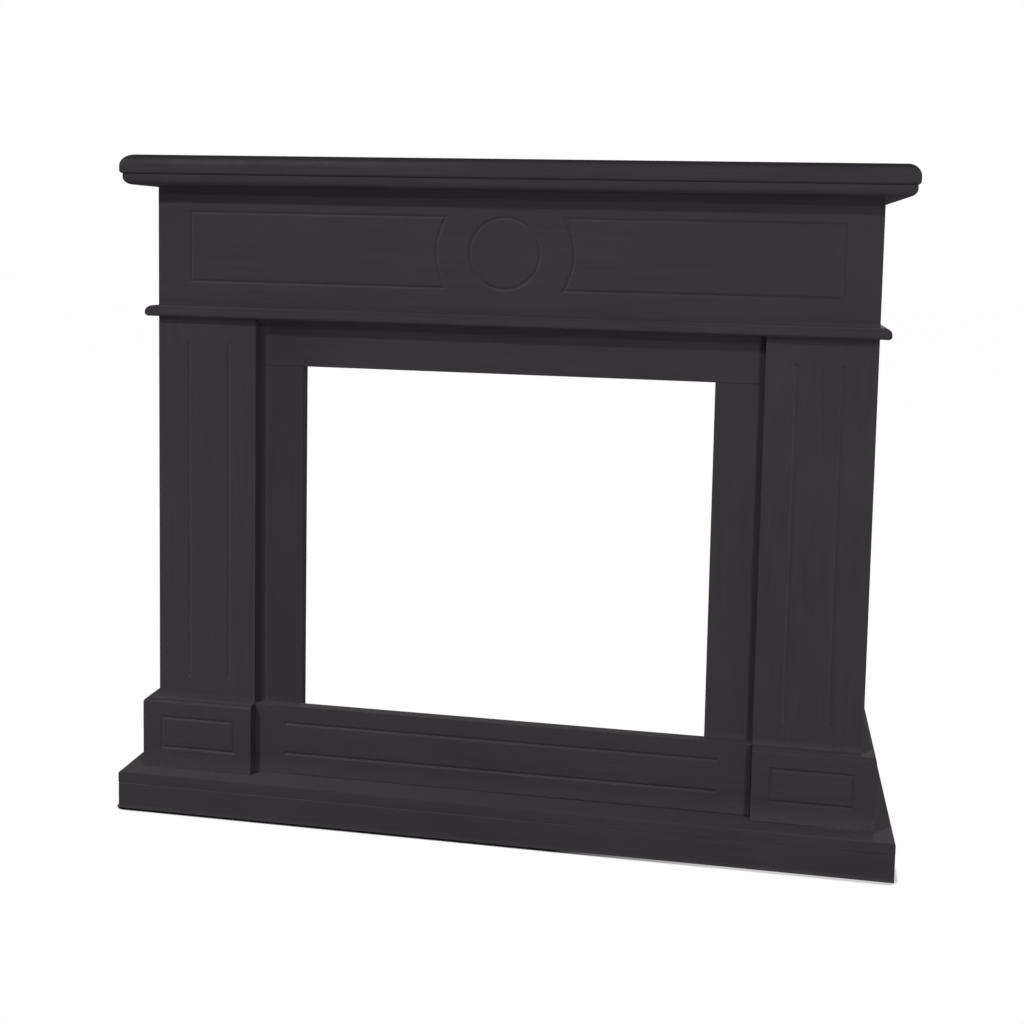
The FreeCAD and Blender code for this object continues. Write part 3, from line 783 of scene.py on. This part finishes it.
def pick(item):
    """Select one object alone and make it active."""
    bpy.ops.object.select_all(action="DESELECT")
    item.select_set(True)
    bpy.context.view_layer.objects.active = item


def recess_blade(turn):
    """Model one tapered blade of the driver's cross, pointing down into the screw's head."""
    bpy.ops.object.select_all(action="DESELECT")
    bpy.ops.mesh.primitive_cube_add(size=1, location=(0, 0, SCREW_RISE))
    blade = bpy.context.object
    blade.scale = (RECESS_LENGTH, RECESS_WIDTH, 2 * RECESS_DEPTH)
    blade.rotation_euler = (0, 0, turn)
    bpy.ops.object.transform_apply(location=True, rotation=True, scale=True)
    for vertex in blade.data.vertices:
        vertex.select = vertex.co.z < SCREW_RISE
    bpy.ops.object.mode_set(mode="EDIT")
    bpy.ops.mesh.select_mode(type="VERT")
    tip = (0, 0, SCREW_RISE - RECESS_DEPTH)
    bpy.ops.transform.resize(value=(RECESS_TAPER, RECESS_TAPER, 1), center_override=tip)
    bpy.ops.object.mode_set(mode="OBJECT")
    return blade


def model_screw():
    """Model one screw's head on the floor of the scene: a domed disc with a cross recess."""
    bpy.ops.object.select_all(action="DESELECT")
    bpy.ops.mesh.primitive_cylinder_add(vertices=SCREW_SIDES, radius=SCREW_RADIUS, depth=SCREW_RISE,
                                        location=(0, 0, SCREW_RISE / 2))
    head = bpy.context.object
    bpy.ops.object.transform_apply(location=True, rotation=True, scale=True)
    for edge in head.data.edges:
        edge.select = all(head.data.vertices[corner].co.z > SCREW_RISE / 2 for corner in edge.vertices)
    bpy.ops.object.mode_set(mode="EDIT")
    bpy.ops.mesh.select_mode(type="EDGE")
    bpy.ops.mesh.bevel(offset=DOME_REACH, segments=DOME_STEPS, affect="EDGES")
    bpy.ops.object.mode_set(mode="OBJECT")
    for turn in (0, QUARTER_TURN):
        blade = recess_blade(turn)
        cut = head.modifiers.new("recess", "BOOLEAN")
        cut.operation = "DIFFERENCE"
        cut.object = blade
        pick(head)
        bpy.ops.object.modifier_apply(modifier="recess")
        bpy.data.objects.remove(blade)
    pick(head)
    bpy.ops.object.shade_smooth_by_angle(angle=SMOOTH_ANGLE)
    return head


def screw_rows(side, sign):
    """List the rows of screws on one side: their name, the heads' spots and the way that they face."""
    low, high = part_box(f"wall_bracket_{side}")
    leg = sign * (max(abs(low[0]), abs(high[0])) - BRACKET_SHEET)
    bracket_level = (low[2] + high[2]) / 2
    bracket_spots = [(leg, high[1] - reach, bracket_level) for reach in BRACKET_FROM_WALL]
    lap = sign * (STILE_EDGE - STILE_LAP)
    rail = sign * (OPENING_SIDE + RAIL_LAP)
    front_low, front_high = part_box("shelf_batten_front")
    front_deep = (front_low[1] + front_high[1]) / 2
    side_low, side_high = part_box(f"shelf_batten_{side}")
    side_across = (side_low[0] + side_high[0]) / 2
    shelf_spots = [(sign * across, front_deep, front_low[2]) for across in FRONT_BATTEN_ACROSS]
    shelf_spots += [(side_across, deep, side_low[2]) for deep in SIDE_BATTEN_DEEP]
    return [
        ("bracket_screw", bracket_spots, (-sign, 0, 0)),
        ("stile_screw", [(lap, FRAME_BACK, level) for level in STILE_LEVELS], TO_WALL),
        ("header_screw", [(lap, FRAME_BACK, OPENING_TOP + rise) for rise in HEADER_RISES], TO_WALL),
        ("rail_screw", [(rail, FRAME_BACK, level) for level in RAIL_LEVELS], TO_WALL),
        ("shelf_screw", shelf_spots, DOWNWARDS),
    ]


def screw_spots():
    """List each screw's name, the spot that its head sits on and the way that it faces."""
    spots = []
    for side, sign in (("left", -1), ("right", 1)):
        for row, heads, facing in screw_rows(side, sign):
            for number, spot in enumerate(heads, 1):
                spots.append((f"{row}_{side}_{number}", spot, facing))
    return spots


def set_screws(material):
    """Copy the screw to each of its spots, with every cross left at another turn."""
    head = model_screw()
    head.data.materials.append(material)
    for number, (name, spot, facing) in enumerate(screw_spots()):
        screw = head.copy()
        screw.data = head.data.copy()
        screw.name = name
        bpy.context.scene.collection.objects.link(screw)
        stand = Vector(facing).to_track_quat("Z", "Y").to_matrix().to_4x4()
        screw.matrix_world = Matrix.Translation(spot) @ stand @ Matrix.Rotation(SCREW_TURN * number, 4, "Z")
        pick(screw)
        bpy.ops.object.transform_apply(location=True, rotation=True, scale=True)
        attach(screw, "root")
    bpy.data.objects.remove(head)


# Camera of the photograph, with its angles in degrees and its optical centre in pixels
IMAGE_SIZE = 1024
SENSOR_WIDTH = 36
CAMERA_SPOT = (0.36326, -1.93452, 0.88232)
CAMERA_YAW = 8.911
CAMERA_PITCH = -4.449
CAMERA_ROLL = 1.279
FOCAL_PIXELS = 1247.3
OPTICAL_CENTRE = (560, 340)


def make_camera():
    """Stand the camera where the photograph was taken from."""
    yaw, pitch, roll = (math.radians(angle) for angle in (CAMERA_YAW, CAMERA_PITCH, CAMERA_ROLL))
    ahead = Vector((-math.sin(yaw) * math.cos(pitch), math.cos(yaw) * math.cos(pitch), math.sin(pitch)))
    right = Vector((math.cos(yaw), math.sin(yaw), 0))
    up = right.cross(ahead)
    tilted_right = math.cos(roll) * right + math.sin(roll) * up
    tilted_up = math.cos(roll) * up - math.sin(roll) * right
    turn = Matrix((tilted_right, tilted_up, -ahead)).transposed()
    data = bpy.data.cameras.new("photo_camera")
    data.sensor_width = SENSOR_WIDTH
    data.lens = SENSOR_WIDTH * FOCAL_PIXELS / IMAGE_SIZE
    data.shift_x = (IMAGE_SIZE / 2 - OPTICAL_CENTRE[0]) / IMAGE_SIZE
    data.shift_y = (OPTICAL_CENTRE[1] - IMAGE_SIZE / 2) / IMAGE_SIZE
    camera = bpy.data.objects.new("photo_camera", data)
    camera.matrix_world = Matrix.Translation(CAMERA_SPOT) @ turn.to_4x4()
    bpy.context.scene.collection.objects.link(camera)
    bpy.context.scene.camera = camera


# Studio lamps: what each is aimed at, the way to it from there, its distance and width, and its watts
Lamp = namedtuple("Lamp", "name aim slope distance width power")
LAMPS = [
    Lamp("left_lamp", (0, -0.15, 0.85), (-0.75, -1, 0.87), 4.5, 0.27, 125),
    Lamp("right_lamp", (0, -0.15, 0.85), (0.71, -1, 0.47), 4.5, 0.27, 48),
    Lamp("fill_lamp", (0, -0.15, 0.3), (0.7, -1, 0.1), 2.3, 0.5, 13),
    Lamp("foot_lamp", (-0.4, -0.15, 0.1), (-0.3, -1, 0.2), 0.8, 0.4, 1.1),
    Lamp("side_lamp", (0.55, 0, 0.4), (1, 0.25, 0.3), 4.5, 0.6, 45),
    Lamp("rear_lamp", (0, 0.2, 0.5), (0.35, 1, 0.3), 4.5, 0.6, 130),
]


def make_lamp(lamp):
    """Hang a round lamp that shines along a slope towards the surround."""
    data = bpy.data.lights.new(lamp.name, "AREA")
    data.shape = "DISK"
    data.size = lamp.width
    data.energy = lamp.power
    item = bpy.data.objects.new(lamp.name, data)
    slope = Vector(lamp.slope)
    item.location = Vector(lamp.aim) + slope.normalized() * lamp.distance
    item.rotation_euler = slope.to_track_quat("Z", "Y").to_euler()
    item.visible_camera = False
    bpy.context.scene.collection.objects.link(item)


# Room and floor: their light and tone, and the shade where the base meets the floor, weaker to the right
WHITE = (1, 1, 1)
ROOM_LIGHT = 0.2
FLOOR_SIZE = 40
FLOOR_TONE = (0.55, 0.55, 0.55)
FLOOR_GLOW = 0.985
CONTACT_REACH = 0.016
CONTACT_SAMPLES = 32
CONTACT_OPENNESS = (0.7, 0.79)
CONTACT_ACROSS = ((0.1, 0.35), (1, 0.4))


def seen_directly(tree):
    """Tell rays that look at the studio, straight or by reflection, from those that light the surround."""
    path = add(tree, "ShaderNodeLightPath")
    return largest(tree, path.outputs["Is Glossy Ray"], path.outputs["Is Transmission Ray"],
                   path.outputs["Is Camera Ray"])


def mix_shaders(tree, amount, first, second, output):
    """Blend two shaders into an output's surface."""
    item = add(tree, "ShaderNodeMixShader")
    feed(tree, amount, item.inputs["Fac"])
    for place, shader in zip(MIX_SHADERS, (first, second)):
        feed(tree, shader, item.inputs[place])
    feed(tree, item.outputs["Shader"], output.inputs["Surface"])


def room_shader(tree, strength):
    """Add a white background of a given strength."""
    item = add(tree, "ShaderNodeBackground")
    feed(tree, WHITE, item.inputs["Color"])
    fill(item, Strength=strength)
    return item.outputs["Background"]


def make_room():
    """A white room that lights the surround softly."""
    world = bpy.data.worlds.new("studio")
    bpy.context.scene.world = world
    tree = fresh_tree(world)
    output = add(tree, "ShaderNodeOutputWorld")
    mix_shaders(tree, seen_directly(tree), room_shader(tree, ROOM_LIGHT), room_shader(tree, 1), output)


def contact_shade(tree):
    """Tell how dark the floor is where the base meets it."""
    contact = add(tree, "ShaderNodeAmbientOcclusion", samples=CONTACT_SAMPLES)
    fill(contact, Distance=CONTACT_REACH)
    coordinates = add(tree, "ShaderNodeTexCoord")
    spot = split(tree, coordinates.outputs["Object"])
    shade = spread(tree, contact.outputs["AO"], CONTACT_OPENNESS, FALL)
    return times(tree, shade, spread(tree, spot.x, *CONTACT_ACROSS))


def floor_material():
    """A pale floor that keeps a faint shadow, darkest where the base meets it."""
    material = bpy.data.materials.new("pale_floor")
    tree = fresh_tree(material)
    matt = add(tree, "ShaderNodeBsdfDiffuse")
    feed(tree, FLOOR_TONE, matt.inputs["Color"])
    glow = add(tree, "ShaderNodeEmission")
    feed(tree, WHITE, glow.inputs["Color"])
    feed(tree, minus(tree, 1, contact_shade(tree)), glow.inputs["Strength"])
    amount = times(tree, seen_directly(tree), FLOOR_GLOW)
    output = add(tree, "ShaderNodeOutputMaterial")
    mix_shaders(tree, amount, matt.outputs["BSDF"], glow.outputs["Emission"], output)
    return material


def make_floor():
    """Lay the floor under the surround as part of the studio."""
    bpy.ops.object.select_all(action="DESELECT")
    bpy.ops.mesh.primitive_plane_add(size=FLOOR_SIZE, location=(0, 0, 0))
    floor = bpy.context.object
    floor.name = "studio_floor"
    floor.data.materials.append(floor_material())


dress(STANDING_BOARDS, charcoal_material("charcoal_standing", (1, 1, STROKE_STRETCH), bare_body_mask))
dress(LYING_BOARDS, charcoal_material("charcoal_lying", (STROKE_STRETCH, 1, 1), bare_body_mask))
dress(DEEP_BOARDS, charcoal_material("charcoal_deep", (1, STROKE_STRETCH, 1), bare_body_mask))
dress(LYING_TOPS, charcoal_material("charcoal_tops", (STROKE_STRETCH, 1, 1), bare_top_mask))
dress(BARE_BOARDS, bare_fibreboard_material())
dress(UPRIGHT_BATTENS, softwood_material("softwood_upright", (0, 0, 0)))
dress(ACROSS_BATTENS, softwood_material("softwood_across", (0, QUARTER_TURN, 0)))
dress(DEEP_BATTENS, softwood_material("softwood_deep", (QUARTER_TURN, 0, 0)))
dress(DOWELS, beech_material())
zinc = zinc_material()
dress(BRACKETS, zinc)
set_screws(zinc)
soften_edges(SANDED_BOARDS + BARE_BOARDS)

make_camera()
for lamp in LAMPS:
    make_lamp(lamp)
make_room()
make_floor()
bpy.context.scene.view_settings.view_transform = "Standard"
